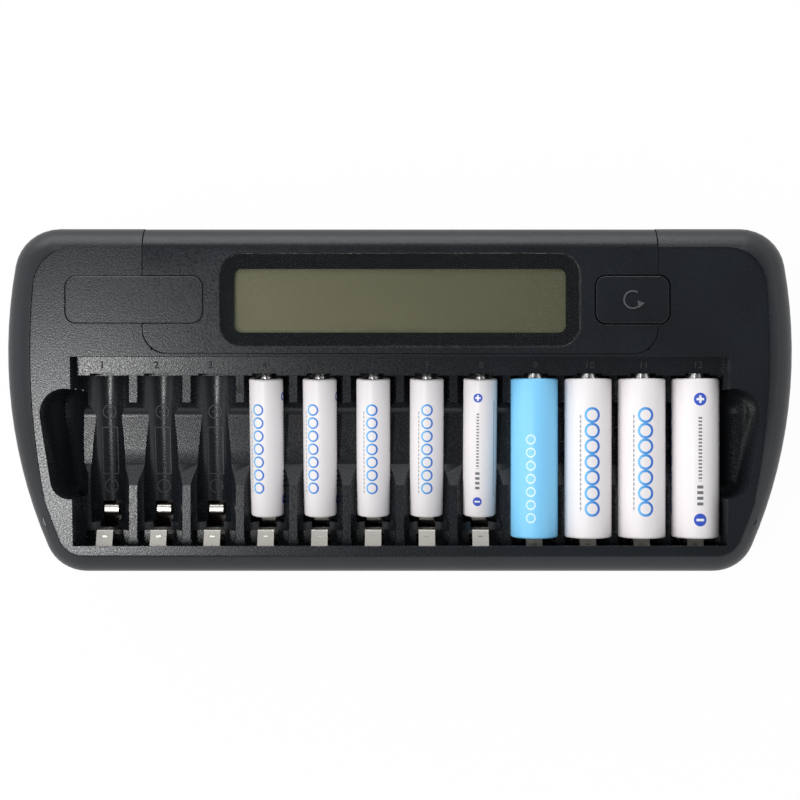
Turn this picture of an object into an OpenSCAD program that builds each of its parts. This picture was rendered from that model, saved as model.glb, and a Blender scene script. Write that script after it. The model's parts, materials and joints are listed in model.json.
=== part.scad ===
// Twelve-bay bench charger for AA and AAA cells, with a display, nine cells in their bays and three bays empty.
// X runs along the row of bays, Y to the rear edge and Z up. The origin is on the table, under the middle.

/* [Cells] */
// Diameter of an AA cell
aa_d = 14.4; // [13.6:0.1:14.6]
// Length of an AA cell over its button
aa_len = 50.5; // [49:0.1:51.5]
// Diameter of the AA button
aa_nub_d = 5.5; // [4.6:0.1:6]
// Height of the AA button
aa_nub_h = 1.8; // [1.2:0.1:2]
// Diameter of an AAA cell
aaa_d = 10.4; // [9.6:0.1:10.6]
// Length of an AAA cell over its button
aaa_len = 44.3; // [43.4:0.1:45]
// Diameter of the AAA button
aaa_nub_d = 3.8; // [3:0.1:4.4]
// Height of the AAA button
aaa_nub_h = 1.4; // [1:0.1:1.6]
// Corner radius at the ends of a cell's can
can_round = 0.7; // [0.3:0.1:1]

/* [Bays] */
// Distance between neighbouring bays
bay_pitch = 16.5; // [16.3:0.1:18]
// Radial play of an AA cell in its trough
bay_clear = 0.25; // [0.2:0.05:0.5]
// Gap left under a cell that lies in its trough
cell_gap = 0.1; // [0.05:0.05:0.15]
// Slope of the AAA groove in degrees, down towards the front
aaa_tilt = 7.5; // [6:0.5:9]
// Drop of the AAA groove's axis below the AA axis at the rear
aaa_drop = 0.65; // [0.3:0.05:1.2]
// Height of the AA axis above the tops of the ribs
rib_drop = 2.5; // [1.5:0.1:3.5]
// Depth of the finger channel below the AA axis
channel_depth = 6.25; // [5.6:0.05:6.4]
// Width of the finger channel's floor
channel_w = 14.6; // [12:0.1:16]
// Length of the sloped front side of the finger channel
channel_ramp = 6.6; // [4:0.1:8]
// Depth of the number ledge from front to rear
ledge_d = 5.6; // [5:0.1:7]
// Height of the ledge's rear edge above the AA axis
ledge_rise = 3.8; // [3.6:0.1:3.9]
// Fall of the ledge from its rear edge to its front edge
ledge_fall = 0.4; // [0.2:0.1:0.5]
// Width of the notch in the ledge at each bay
notch_w = 7.6; // [7:0.1:9]
// Free length between an AA cell's flat end and the front edge of the well
leaf_room = 1.9; // [1.7:0.1:2.4]
// Floor thickness under the deepest groove
tray_floor = 1.5; // [1.2:0.1:2.5]
// Wall thickness of the tray
tray_wall = 1.5; // [1.2:0.1:2]

/* [Case] */
// Width of the top beside the well, at each end
side_land = 20.1; // [17:0.1:26]
// Depth of the top in front of the well
front_land = 8.2; // [7.6:0.1:12]
// Depth of the top behind the well
rear_land = 39.1; // [38:0.1:46]
// Height of the case's top above the AA axis
top_rise = 9.5; // [8.5:0.1:12]
// Radius of the bulging sides
side_r = 149; // [135:1:200]
// Distance of the widest place behind the middle
side_y = 14.7; // [8:0.1:18]
// Corner radius at the rear
rear_r = 13.8; // [12.5:0.1:18]
// Corner radius at the front
front_r = 12.8; // [12:0.1:16]
// Height of the round upper edge
edge_r = 7; // [5:0.1:7.4]
// Width of the round upper edge
edge_w = 9.5; // [8.6:0.1:10]
// Width of the rim beside the flat top, at the sides
rim_side = 8.1; // [7.4:0.1:8.4]
// Width of the rim behind the flat top
rim_rear = 6.2; // [5.6:0.1:6.6]
// Depth of the flat top below the rim's crest
panel_step = 0.7; // [0.6:0.05:0.8]
// Radius of the lower edge
base_r = 4; // [3:0.1:5]
// Wall thickness of the case
wall = 2.2; // [1.8:0.1:2.6]
// Height of the parting line above the underside
split_rise = 8.5; // [7:0.1:9.5]
// Height of the locating lip at the parting line
lip_h = 1.5; // [1:0.1:2]
// Thickness of the locating lip
lip_t = 0.9; // [0.7:0.1:1.1]
// Depth of the well's skirt below the top plate
skirt_h = 3.2; // [2.5:0.1:3.4]
// Reach of the finger pockets beyond the well
pocket_reach = 9.1; // [8:0.1:10]
// Larger radius of a finger pocket
pocket_r = 7.5; // [6.5:0.1:8]
// Smaller radius of a finger pocket
pocket_front_r = 6; // [5:0.1:6.4]

/* [Console] */
// Width of the console cover
console_w = 155; // [150:1:158]
// Width of the case's edge between the console and the well
bridge_d = 1; // [0.8:0.1:1.6]
// Corner radius at the front of the console cover
console_r = 7.5; // [5:0.1:9]
// Step from the case's rim down to the console's
console_step = 0.1; // [0.05:0.05:0.3]
// Height of the console's rear wall
console_tail = 20; // [16:0.5:22]
// Gap along the console's seam
seam = 0.25; // [0.2:0.05:0.4]
// Width of the display window
window_w = 108.5; // [104:0.5:110]
// Depth of the display window
window_d = 28.1; // [26:0.1:29]
// Thickness of the display window
window_t = 1.5; // [1:0.1:1.6]
// Corner radius of the display window
window_r = 6.7; // [4:0.1:8]
// Width of the visible display
view_w = 100; // [90:0.5:102]
// Depth of the visible display
view_d = 19.2; // [16:0.1:21]
// Distance from the rear edge of the case to the middle of the console's row
row_inset = 22; // [21:0.1:23.5]
// Width of the refresh button
button_w = 22; // [18:0.5:23]
// Depth of the refresh button
button_d = 14.2; // [12:0.1:15]
// Corner radius of the refresh button
button_r = 3; // [2:0.1:4]
// Distance from the window to the refresh button
button_space = 4.75; // [4:0.25:6]
// Travel of the refresh button
button_travel = 0.7; // [0.4:0.1:0.8]
// Gap round the refresh button
button_gap = 0.5; // [0.3:0.05:0.7]
// Width of the name plate
plate_w = 41.5; // [36:0.5:43]
// Depth of the name plate
plate_d = 14.4; // [12:0.1:16]
// Corner radius of the name plate
plate_r = 3.4; // [2:0.1:5]
// Distance from the window to the name plate
plate_space = 5.1; // [4:0.1:7]

/* [Contacts] */
// Thickness of the contact strip
strip_t = 0.35; // [0.25:0.05:0.45]
// Width of an AA leaf
aa_leaf_w = 5; // [4.5:0.1:6]
// Width of an AAA leaf
aaa_leaf_w = 4.3; // [4:0.1:5.4]
// Width of a positive contact
plus_w = 6.8; // [5.5:0.1:6.9]
// Turn of an AA leaf in degrees with a cell in its bay
aa_push = 6.8; // [6.8:0.1:7.4]
// Turn of an AAA leaf in degrees with a cell in its bay
aaa_push = 15.6; // [15.4:0.1:16]

/* [Inside] */
// Height of the underside above the table
foot_h = 1.5; // [1:0.1:3]
// Thickness of the base
floor_t = 2; // [1.8:0.1:3]
// Height of the posts under the main board
post_h = 3.5; // [3:0.1:5]
// Thickness of the circuit boards
board_t = 1.6; // [1:0.1:2]
// Free height between the main board and the tray
board_gap = 6.4; // [5.5:0.1:8]
// Diameter of the supply inlet's opening
inlet_d = 8.4; // [7.6:0.1:8.6]

/* [Hidden] */
$fn = 48;
bays = 12;
first_aaa = 4;
first_aa = 9;
function numbered(base, i) = str(base, i < 10 ? "_0" : "_", i);

// Overshoot of a cut and overlap of a union
over = 1;
// Play between pieces that are set beside each other
play = 0.15;

// Levels along Y, from the front edge to the rear edge
aa_body = aa_len - aa_nub_h;
aaa_body = aaa_len - aaa_nub_h;
shoulder_gap = 0.9;
nub_gap = 0.1;
end_gap = 0.4;
well_d = leaf_room + aa_body + shoulder_gap + ledge_d;
case_d = front_land + well_d + rear_land;
front_y = -case_d / 2;
rear_y = case_d / 2;
well_front = front_y + front_land;
well_rear = well_front + well_d;
aa_front = well_front + leaf_room;
ledge_front = well_rear - ledge_d;
plus_y = aa_front + aa_len + nub_gap;
row_y = rear_y - row_inset;

// Widths
well_half = bays * bay_pitch / 2 + end_gap;
well_half_front = well_half - 0.9;
case_w = 2 * (well_half + side_land);
function bay_x(i) = (i - (bays + 1) / 2) * bay_pitch;
function rib_x(i) = (i - bays / 2) * bay_pitch;

// Levels along Z, from the table up
board_z = foot_h + floor_t + post_h;
board_top = board_z + board_t;
tray_z = board_top + board_gap;
trough_r = aa_d / 2 + bay_clear;
groove_r = aaa_d / 2 + bay_clear;
groove_end = 2.2;
groove_lead = 0.2;
nub_lean = aaa_nub_d / 2 * sin(aaa_tilt);
aaa_tip_y = plus_y - nub_gap - nub_lean;
aaa_run = (aaa_len + groove_end) * sin(aaa_tilt);
z_ax = tray_z + tray_floor + aaa_drop + aaa_run + groove_r / cos(aaa_tilt);
aaa_tip_z = z_ax - aaa_drop;
aaa_front_y = aaa_tip_y - aaa_len * cos(aaa_tilt);
aaa_front_z = aaa_tip_z - aaa_len * sin(aaa_tilt);
case_top = z_ax + top_rise;
plate_z = case_top - wall;
flat_z = case_top - panel_step;
split_z = foot_h + split_rise;
rib_z = z_ax - rib_drop;
skirt_z = plate_z - skirt_h;
tray_top = skirt_z - play;
cell_sink = bay_clear - cell_gap;

// Arcs of the case's outline
side_cx = side_r - case_w / 2;
rear_cy = rear_y - rear_r;
rear_cx = sqrt(pow(side_r - rear_r, 2) - pow(rear_cy - side_y, 2)) - side_cx;
rear_a = atan2(rear_cy - side_y, rear_cx + side_cx);
front_cy = front_y + front_r;
front_cx = sqrt(pow(side_r - front_r, 2) - pow(front_cy - side_y, 2)) - side_cx;
front_a = atan2(front_cy - side_y, front_cx + side_cx);
panel_side_r = 220;
panel_r = 12;
panel_front = 3.6;
corner_steps = 8;
side_steps = 14;
pocket_steps = 16;
edge_steps = 6;
bend_steps = 4;
rim_w = 2 * edge_r + 0.5;
lip_inset = wall - lip_t - play;

// Console and display stack
console_rise = 0.15;
console_top = flat_z + console_rise;
console_z = console_top - wall;
console_y = well_rear + bridge_d;
console_tail_z = case_top - console_tail;
plate_seat = plate_z + 0.8;
plate_rise = 0.05;
plate_t = flat_z - plate_seat + plate_rise;
window_lip = 2.6;
holder_h = 4.4;
lcd_t = 2.4;
holder_z = console_z - play - holder_h;
panel_top = console_z - play;
display_board_z = holder_z - board_t;
button_x = window_w / 2 + button_space + button_w / 2;
plate_x = window_w / 2 + plate_space + plate_w / 2;
display_board_left = window_w / 2 + 7.75;
display_board_right = button_x + 16;
display_board_d = window_d + 1.6;
boss_r = 2.2;
boss_x = window_w / 2 + boss_r + 3.4;
boss_y = window_d / 2 - boss_r;
flange_t = 1;
flange_w = 1;
flange_top = console_z - play;
switch_h = 2;
switch_w = 6.2;
plunger_r = 1.6;
plunger_play = 0.2;
plunger_base = 0.3;
plunger_gap = 0.1;
plunger_rise = 0.3;
plunger_top = display_board_z + board_t + switch_h + button_travel + plunger_rise;
lcd_inset = 1;
flange_room = 0.6;

// Tray details
trench_y = aa_front + 1.6;
trench_z = z_ax - trough_r - play;
tray_front = well_front - 4.6;
channel_r = channel_depth - 1.85;
channel_rear = ledge_front - 8.2;
channel_rise = 0.45;
bowl_r = 11;
bowl_x = well_half + 6.1;
bowl_z = z_ax + 2.5;
pocket_x = well_half + pocket_reach - pocket_r;
pocket_y = well_rear - 17.1;
pocket_front_x = well_half - 0.1;
pocket_front_y = pocket_y - 20;
tray_screws_at = [[rib_x(3), ledge_front - 4.1], [rib_x(6), ledge_front - 4.1], [rib_x(9), ledge_front - 4.1],
                  [rib_x(6), trench_y + 1.6]];
corner_cut = 2.6;
tray_head_r = 1.15;
tray_head_h = 1.1;
tray_sink = 1.4;
tray_shank_r = 0.8;
tray_post_r = 2.3;
tray_bite = 5;
tray_recess = [0.3, 0.4];
core_w = 2.2;
core_inset = 12;
notch_depth = 4;
notch_d = 0.6;
plus_rise = 1.2;
leaf_rib = 3;
trench_half = (bay_pitch - leaf_rib) / 2;

// Leaves: the pivot at the board, then the bends up to the free end
leaf_rise = 0.1;
leaf_play = 0.6;
aaa_foot = 0.55;
aaa_root = [aaa_front_y - aaa_foot, board_top + leaf_rise];
aaa_hook = [[aaa_foot + 0.5, 1.9], [1.7, 0], [0.7, -0.6], [-1, -2.6]];
aaa_knee = [aaa_root[0], aaa_front_z - 5.6];
aaa_leaf = concat([aaa_root], [for (i = [0:len(aaa_hook)]) aaa_knee + sum_to(aaa_hook, i)]);
aaa_lean = (aaa_knee[1] + aaa_hook[0][1] - aaa_root[1]) * sin(aaa_push);
aa_foot = 1.2;
aa_knee = 6;
aa_bulge = 2.2;
aa_touch = 0.8;
aa_tip = 3;
aa_tip_rise = 1.2;
aa_root = [min(aa_front - aa_foot, aaa_root[0] - aaa_lean - leaf_play), board_top + leaf_rise];
aa_leaf = [aa_root, [aa_root[0], z_ax - aa_knee], [aa_front + aa_bulge, z_ax - aa_touch],
           [aa_front - aa_tip, z_ax + aa_tip_rise]];
aa_slot_front = 3.2;
aa_slot_rear = 1.4;
aaa_slot_front = 3.4;
aaa_slot_rear = 4.6;
aaa_slot_drop = 4;
aa_bend = 0.5;
leaf_slit = [1.4, 0.4];
aaa_bend = 0.4;

// Screws and posts of the case
case_post_r = 3;
case_screw_r = 1.3;
case_head_r = 2.3;
case_head_h = 1.8;
case_recess = [0.6, 0.8];
recess_share = 0.7;
screw_bite = 0.05;
shank_play = 0.1;
head_play = 0.2;
post_bury = 0.2;
post_gap = 0.1;
pilot_skin = 1;
case_screw_l = 15;
case_head_z = foot_h + 5;
post_meet = split_z + lip_h + 1;
rear_post = [rear_cx + 2, rear_cy - 1];
front_post = [well_half + tray_wall + case_post_r + 0.8, front_cy + 3.4];
board_screws_at = [[rib_x(1), row_y + 8], [rib_x(11), row_y + 8], [rib_x(1), aa_front + 14],
                   [rib_x(11), aa_front + 14]];
small_screw_r = 1;
small_head_r = 1.9;
small_head_h = 1.3;
small_screw_l = 5;
foot_r = 5;
foot_sink = 0.8;
foot_round = 0.6;
feet_at = [[rear_cx - 12, rear_cy + 1], [front_cx - 6, front_cy - 1]];

// Inlet
jack_x = bay_x(12) - 0.75;
jack_w = 9;
jack_l = 14;
jack_h = 11;
jack_rise = 6.5;
jack_bore = 6.4;
jack_pin = 2;
jack_back = 3;
pin_inset = 1;
jack_y = rear_y - wall - play - jack_l;
board_w = bays * bay_pitch - 6;
board_front = tray_front + 1.6;
board_rear = rear_y - wall - 3;
header_h = 3;

black = "#1c1d1f";
graphite = "#26282b";
nickel = "#c9c3ba";
laminate = "#4a3423";
jet_black = "#141416";

// Points along an arc, both ends included
function arc(c, r, a0, a1, n) =
    [for (i = [0:n]) [c[0] + r * cos(a0 + (a1 - a0) * i / n), c[1] + r * sin(a0 + (a1 - a0) * i / n)]];
function sum_to(p, n) = n == 0 ? [0, 0] : p[n - 1] + sum_to(p, n - 1);
function without_last(p) = [for (i = [0:len(p) - 2]) p[i]];
function flipped(p) = [for (i = [len(p) - 1:-1:0]) [-p[i][0], p[i][1]]];

// Case outline set in from its edge: a round front corner, a bulging side and a round rear corner, twice
function half_outline(inset) = concat(
    without_last(arc([front_cx, front_cy], front_r - inset, -90, front_a, corner_steps)),
    without_last(arc([-side_cx, side_y], side_r - inset, front_a, rear_a, side_steps)),
    arc([rear_cx, rear_cy], rear_r - inset, rear_a, 90, corner_steps)
);
function outline(inset) = concat(half_outline(inset), flipped(half_outline(inset)));

// Outline of the flat top, of the same form but with flatter sides
function panel_corner(cy) = sqrt(pow(panel_side_r - panel_r, 2) - pow(cy - side_y, 2));
function half_panel() =
    let (cx = case_w / 2 - rim_side - panel_side_r, low = front_y + panel_front + panel_r,
         high = rear_y - rim_rear - panel_r,
         low_a = atan2(low - side_y, panel_corner(low)), high_a = atan2(high - side_y, panel_corner(high)))
    concat(
        without_last(arc([cx + panel_corner(low), low], panel_r, -90, low_a, corner_steps)),
        without_last(arc([cx, side_y], panel_side_r, low_a, high_a, side_steps)),
        arc([cx + panel_corner(high), high], panel_r, high_a, 90, corner_steps)
    );

// Rise and distance from the edge along the round upper edge
function edge_arc(r, w) =
    [for (i = [0:edge_steps]) [r * sin(90 * i / edge_steps), w - w * cos(90 * i / edge_steps)]];

// Levels of a block, each with its height and its distance from the edge, round at the top or at the bottom
function top_levels(inset, z0, z1, r, w) =
    concat([[z0, inset]], [for (p = edge_arc(r, w)) [z1 - r + p[0], inset + p[1]]]);
function base_levels(inset, z0, z1, r) = concat([for (i = [0:edge_steps])
    [z0 + r - r * cos(90 * i / edge_steps), inset + r - r * sin(90 * i / edge_steps)]], [[z1, inset]]);

// Solid through the outlines at the given levels
module moulded_block(levels) {
    n = len(outline(0));
    top = len(levels) - 1;
    polyhedron(
        points = [for (level = levels) for (p = outline(level[1])) [p[0], p[1], level[0]]],
        faces = concat(
            [[for (i = [0:n - 1]) i], [for (i = [n - 1:-1:0]) top * n + i]],
            [for (k = [0:top - 1]) for (i = [0:n - 1]) [k * n + i, k * n + n + i, k * n + n + (i + 1) % n]],
            [for (k = [0:top - 1]) for (i = [0:n - 1]) [k * n + i, k * n + n + (i + 1) % n, k * n + (i + 1) % n]]
        )
    );
}

// Upright ring inside the outline, between two distances from its edge
module wall_ring(outer, inner, z0, z1) {
    translate([0, 0, z0])
        linear_extrude(z1 - z0)
            difference() {
                polygon(outline(outer));
                polygon(outline(inner));
            }
}

// Section of a wall with a round upper edge
module edge_profile(inset, z0, z1, r, w, back) {
    polygon(concat([[-back, z0], [-inset, z0]], [for (p = edge_arc(r, w)) [-inset - p[1], z1 - r + p[0]]],
                   [[-back, z1]]));
}

// Runs a section in Y and Z along X
module along_x(half) {
    rotate([90, 0, 90])
        linear_extrude(2 * half, center = true)
            children();
}

module rounded(w, d, r) {
    x = w / 2 - r;
    y = d / 2 - r;
    polygon(concat(arc([x, y], r, 0, 90, corner_steps), arc([-x, y], r, 90, 180, corner_steps),
                   arc([-x, -y], r, 180, 270, corner_steps), arc([x, -y], r, 270, 360, corner_steps)));
}

// A line whose corners are rounded by short curves that start a given length before each corner
function toward(a, b, l) = a + (b - a) * l / norm(b - a);
function curve(a, p, b, t) = pow(1 - t, 2) * a + 2 * t * (1 - t) * p + t * t * b;
function eased(p, l) = concat(
    [p[0]],
    [for (i = [1:len(p) - 2], k = [0:bend_steps])
        curve(toward(p[i], p[i - 1], l), p[i], toward(p[i], p[i + 1], l), k / bend_steps)],
    [p[len(p) - 1]]
);

// Points beside a line, at half the strip's thickness on one side of it
function across(a, b) = [a[1] - b[1], b[0] - a[0]] / norm(b - a);
function beside(p, side) = [for (i = [0:len(p) - 1])
    let (m = across(p[max(i - 1, 0)], p[max(i, 1)]), n = across(p[min(i, len(p) - 2)], p[min(i + 1, len(p) - 1)]))
    p[i] + side * strip_t / 2 * (m + n) / (1 + m * n)];

// Strip of constant thickness along a line, round at its bends
module strip(points, bend) {
    line = eased(points, bend);
    right = beside(line, -1);
    polygon(concat(beside(line, 1), [for (i = [len(right) - 1:-1:0]) right[i]]));
}

module well_plan(grow) {
    polygon([[-well_half - grow, well_rear + grow], [-well_half_front - grow, well_front - grow],
             [well_half_front + grow, well_front - grow], [well_half + grow, well_rear + grow]]);
    for (side = [0, 1])
        mirror([side, 0])
            pocket_plan(grow);
}

// Two arcs of different radius, joined by the straight lines that touch both
module pocket_plan(grow) {
    rear = [pocket_x, pocket_y];
    front = [pocket_front_x, pocket_front_y];
    lie = atan2(front[1] - rear[1], front[0] - rear[0]);
    spread = acos((pocket_r - pocket_front_r) / norm(front - rear));
    polygon(concat(arc(rear, pocket_r + grow, lie + spread, lie - spread + 360, pocket_steps),
                   arc(front, pocket_front_r + grow, lie - spread, lie + spread, pocket_steps)));
}

// Console outline, with round corners at its front and open to the rear
module console_plan(grow) {
    depth = rear_y - console_y + 2 * console_r;
    translate([0, console_y + depth / 2 - grow])
        rounded(console_w + 2 * grow, depth, console_r);
}

module case_posts(r, z0, z1) {
    for (side = [-1, 1], p = [rear_post, front_post])
        translate([side * p[0], p[1], z0])
            cylinder(r = r, h = z1 - z0);
}

module inlet_hole() {
    translate([jack_x, rear_y + over, board_top + jack_rise])
        rotate([90, 0, 0])
            cylinder(d = inlet_d, h = wall + 2 * over);
}

module name_plate_plan(grow) {
    translate([-plate_x, row_y])
        rounded(plate_w + 2 * grow, plate_d + 2 * grow, plate_r + grow);
}

module button_plan(grow) {
    translate([button_x, row_y])
        rounded(button_w + 2 * grow, button_d + 2 * grow, button_r + grow);
}

module top_case() {
    ledge_w = 2.4;
    ledge_front_w = 1;
    ledge_t = 1.6;
    frame_half = console_w / 2 + ledge_w;
    color(black)
        difference() {
            union() {
                difference() {
                    moulded_block(top_levels(0, split_z, case_top, edge_r, edge_w));
                    moulded_block(top_levels(wall, split_z - over, plate_z, edge_r - wall, edge_w - wall));
                    wall_ring(lip_inset - play, wall + over, split_z - over, split_z + lip_h + play);
                }
                translate([0, 0, skirt_z])
                    linear_extrude(skirt_h + over)
                        well_plan(tray_wall);
                translate([-frame_half, well_rear, console_z - ledge_t])
                    cube([2 * frame_half, rear_y - edge_r - well_rear, plate_z + over - console_z + ledge_t]);
                case_posts(case_post_r, post_meet, plate_z + post_bury);
            }
            // Console opening with the ledge that carries the cover
            translate([0, 0, console_z - play / 3])
                linear_extrude(2 * edge_r)
                    console_plan(seam);
            translate([-console_w / 2 + ledge_w, console_y + ledge_front_w, skirt_z - over])
                cube([console_w - 2 * ledge_w, rear_y - console_y, 2 * edge_r]);
            translate([-console_w / 2 - seam, rear_y - edge_r - wall, console_tail_z - seam])
                cube([console_w + 2 * seam, 2 * edge_r, console_tail]);
            // Well, with the tray's leaves passing under its front edge
            translate([0, 0, skirt_z - over])
                linear_extrude(case_top)
                    well_plan(0);
            translate([-well_half, well_front - 2 * tray_wall, skirt_z - over])
                cube([2 * well_half, 2 * tray_wall + over, skirt_h + over]);
            // Name plate recess
            translate([0, 0, plate_seat])
                linear_extrude(wall)
                    name_plate_plan(play);
            // Button opening, wider below for the button's flange
            translate([0, 0, plate_z - over])
                linear_extrude(wall + 2 * over)
                    button_plan(button_gap);
            translate([button_x, row_y, plate_z - wall])
                cube([button_w + 2 * (flange_w + flange_room), button_d + 2 * (flange_w + flange_room), 2 * wall],
                     center = true);
            translate([0, 0, post_meet - over])
                case_posts(case_screw_r + screw_bite, 0, case_screw_l - post_meet + case_head_z + 2 * over);
            inlet_hole();
            translate([0, 0, flat_z])
                linear_extrude(wall)
                    polygon(concat(half_panel(), flipped(half_panel())));
        }
}

module console_cover() {
    color(graphite)
        difference() {
            union() {
                translate([0, 0, console_z])
                    intersection() {
                        linear_extrude(wall)
                            console_plan(0);
                        translate([-console_w / 2, console_y, 0])
                            cube([console_w, rear_y - edge_r - over - console_y, wall]);
                    }
                translate([0, rear_y - console_step, 0])
                    along_x(console_w / 2)
                        difference() {
                            edge_profile(0, console_tail_z, case_top - console_step, edge_r, edge_w, rim_w);
                            edge_profile(wall, console_tail_z - over, console_z, edge_r - wall, edge_r - wall,
                                         rim_w + over);
                            translate([-rim_w - over, console_top])
                                square([rim_w + over - rim_rear, wall]);
                        }
                for (x = [-boss_x, boss_x], y = [-boss_y, boss_y])
                    translate([x, row_y + y, display_board_z + board_t])
                        cylinder(r = boss_r, h = console_z - display_board_z - board_t + over);
            }
            translate([0, row_y, console_top - window_t - play])
                linear_extrude(window_t + over)
                    rounded(window_w + 2 * play, window_d + 2 * play, window_r);
            translate([0, row_y, console_z - over])
                linear_extrude(wall)
                    rounded(window_w - 2 * window_lip, window_d - 2 * window_lip, window_r - window_lip);
            translate([0, 0, plate_seat])
                linear_extrude(wall)
                    name_plate_plan(play);
            translate([0, 0, console_z - over])
                linear_extrude(wall + 2 * over)
                    button_plan(button_gap);
            for (x = [-boss_x, boss_x], y = [-boss_y, boss_y])
                translate([x, row_y + y, display_board_z])
                    cylinder(r = small_screw_r + screw_bite, h = small_screw_l);
        }
}

module name_plate() {
    color("#17181a")
        translate([0, 0, plate_seat + play / 3])
            linear_extrude(plate_t)
                name_plate_plan(0);
}

module display_window() {
    color("#101214")
        translate([0, row_y, console_top - window_t - play / 2])
            linear_extrude(window_t)
                rounded(window_w, window_d, window_r - play);
}

module lcd_panel() {
    color("#7f8468")
        translate([-window_w / 2 + lcd_inset, row_y - window_d / 2 + lcd_inset, panel_top - lcd_t])
            cube([window_w - 2 * lcd_inset, window_d - 2 * lcd_inset, lcd_t]);
}

module lcd_holder() {
    holder_w = window_w + 2 * lcd_inset;
    slack = lcd_inset - play;
    strip_room = 2.4;
    color("#d8d8d2")
        translate([0, row_y, 0])
            difference() {
                translate([-holder_w / 2, -display_board_d / 2, holder_z])
                    cube([holder_w, display_board_d, holder_h]);
                translate([-window_w / 2 + slack, -window_d / 2 + slack, panel_top - lcd_t])
                    cube([window_w - 2 * slack, window_d - 2 * slack, lcd_t + over]);
                translate([-view_w / 2, -view_d / 2 - strip_room, holder_z - over])
                    cube([view_w, view_d + 2 * strip_room, holder_h]);
            }
}

module lcd_connector_strips() {
    strip_w = 2;
    strip_end = 2;
    strip_y = view_d / 2 + 1;
    color("#e9a7b4")
        for (side = [-1, 1])
            translate([-view_w / 2 + strip_end, row_y + side * strip_y - strip_w / 2, holder_z])
                cube([view_w - 2 * strip_end, strip_w, holder_h - lcd_t]);
}

module display_board() {
    color(laminate)
        difference() {
            translate([-display_board_left, row_y - display_board_d / 2, display_board_z])
                cube([display_board_left + display_board_right, display_board_d, board_t]);
            for (x = [-boss_x, boss_x], y = [-boss_y, boss_y])
                translate([x, row_y + y, display_board_z - over])
                    cylinder(r = small_screw_r + play, h = board_t + 2 * over);
        }
}

module refresh_button() {
    cap_top = flat_z + plate_rise;
    stem_r = 2.6;
    color(black) {
        translate([0, 0, flange_top - flange_t])
            linear_extrude(cap_top - flange_top + flange_t)
                button_plan(0);
        translate([button_x - button_w / 2 - flange_w, row_y - button_d / 2 - flange_w, flange_top - flange_t])
            cube([button_w + 2 * flange_w, button_d + 2 * flange_w, flange_t]);
        translate([button_x, row_y, plunger_top])
            cylinder(r = stem_r, h = flange_top - plunger_top);
    }
}

module switch_body() {
    color(jet_black)
        difference() {
            translate([button_x - switch_w / 2, row_y - switch_w / 2, display_board_z + board_t])
                cube([switch_w, switch_w, switch_h]);
            translate([button_x, row_y, display_board_z + board_t + plunger_base])
                cylinder(r = plunger_r + plunger_play, h = switch_h);
        }
}

module switch_plunger() {
    plunger_z = display_board_z + board_t + plunger_base + button_travel + plunger_gap;
    color("#3a3b3e")
        translate([button_x, row_y, plunger_z])
            cylinder(r = plunger_r, h = plunger_top - plunger_z);
}

// Section of the open space over the ribs, in Y and Z
module bay_space() {
    high = case_top + over;
    polygon([[well_rear, high], [well_rear, z_ax + ledge_rise], [ledge_front, z_ax + ledge_rise - ledge_fall],
             [ledge_front, rib_z], [tray_front - over, rib_z], [tray_front - over, high]]);
    channel_front = channel_rear - channel_r - channel_w;
    translate([channel_rear - channel_r, z_ax - channel_depth + channel_r])
        circle(channel_r);
    polygon([[channel_rear - channel_r, z_ax], [channel_rear - channel_r, z_ax - channel_depth],
             [channel_front, z_ax - channel_depth + channel_rise], [channel_front - channel_ramp, rib_z],
             [channel_front - channel_ramp, z_ax]]);
}

module pocket_space() {
    intersection() {
        translate([0, 0, tray_z])
            linear_extrude(case_top)
                pocket_plan(0);
        union() {
            translate([bowl_x, well_rear, bowl_z])
                rotate([90, 0, 0])
                    cylinder(r = bowl_r, h = well_d);
            translate([bowl_x - bowl_r, well_front, bowl_z])
                cube([2 * bowl_r, well_d, case_top]);
        }
    }
}

module bay_cuts() {
    // AA trough
    translate([0, ledge_front, z_ax])
        rotate([90, 0, 0])
            cylinder(r = trough_r, h = ledge_front - aa_front + over);
    // Pocket of the AA leaf
    translate([-trench_half, tray_front + tray_wall, trench_z])
        cube([2 * trench_half, trench_y - tray_front - tray_wall, case_top]);
    // AAA groove, sloping down to the front
    translate([0, aaa_tip_y, aaa_tip_z])
        rotate([90 + aaa_tilt, 0, 0])
            translate([0, 0, aaa_nub_h - groove_lead])
                cylinder(r = groove_r, h = aaa_body + groove_end + groove_lead);
    // Notch in the ledge, the cell button's place under it and the slot of the positive contact
    translate([-notch_w / 2, ledge_front - over, z_ax - notch_depth])
        cube([notch_w, notch_d + over, case_top]);
    translate([-notch_w / 2, ledge_front - over, z_ax - notch_depth])
        cube([notch_w, plus_y - ledge_front + over, notch_depth + aa_nub_d / 2 + play]);
    translate([-notch_w / 2, plus_y - play, tray_z - over])
        cube([notch_w, strip_t + 2 * play, z_ax + plus_rise + play - tray_z + over]);
    // Slots of the two leaves
    translate([-aa_leaf_w / 2 - leaf_play, aa_root[0] - aa_slot_front, tray_z - over])
        cube([aa_leaf_w + 2 * leaf_play, aa_slot_front + aa_slot_rear, z_ax - tray_z]);
    translate([-aaa_leaf_w / 2 - leaf_play, aaa_root[0] - aaa_slot_front, tray_z - over])
        cube([aaa_leaf_w + 2 * leaf_play, aaa_slot_front + aaa_slot_rear, z_ax - tray_z - aaa_slot_drop]);
}

// Plan of the tray, with its front corners cut off to clear the case
module tray_plan() {
    half = well_half + tray_wall;
    rear = well_rear + tray_wall;
    polygon([[half, rear], [-half, rear], [-half, tray_front + corner_cut], [-half + corner_cut, tray_front],
             [half - corner_cut, tray_front], [half, tray_front + corner_cut]]);
}

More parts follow.
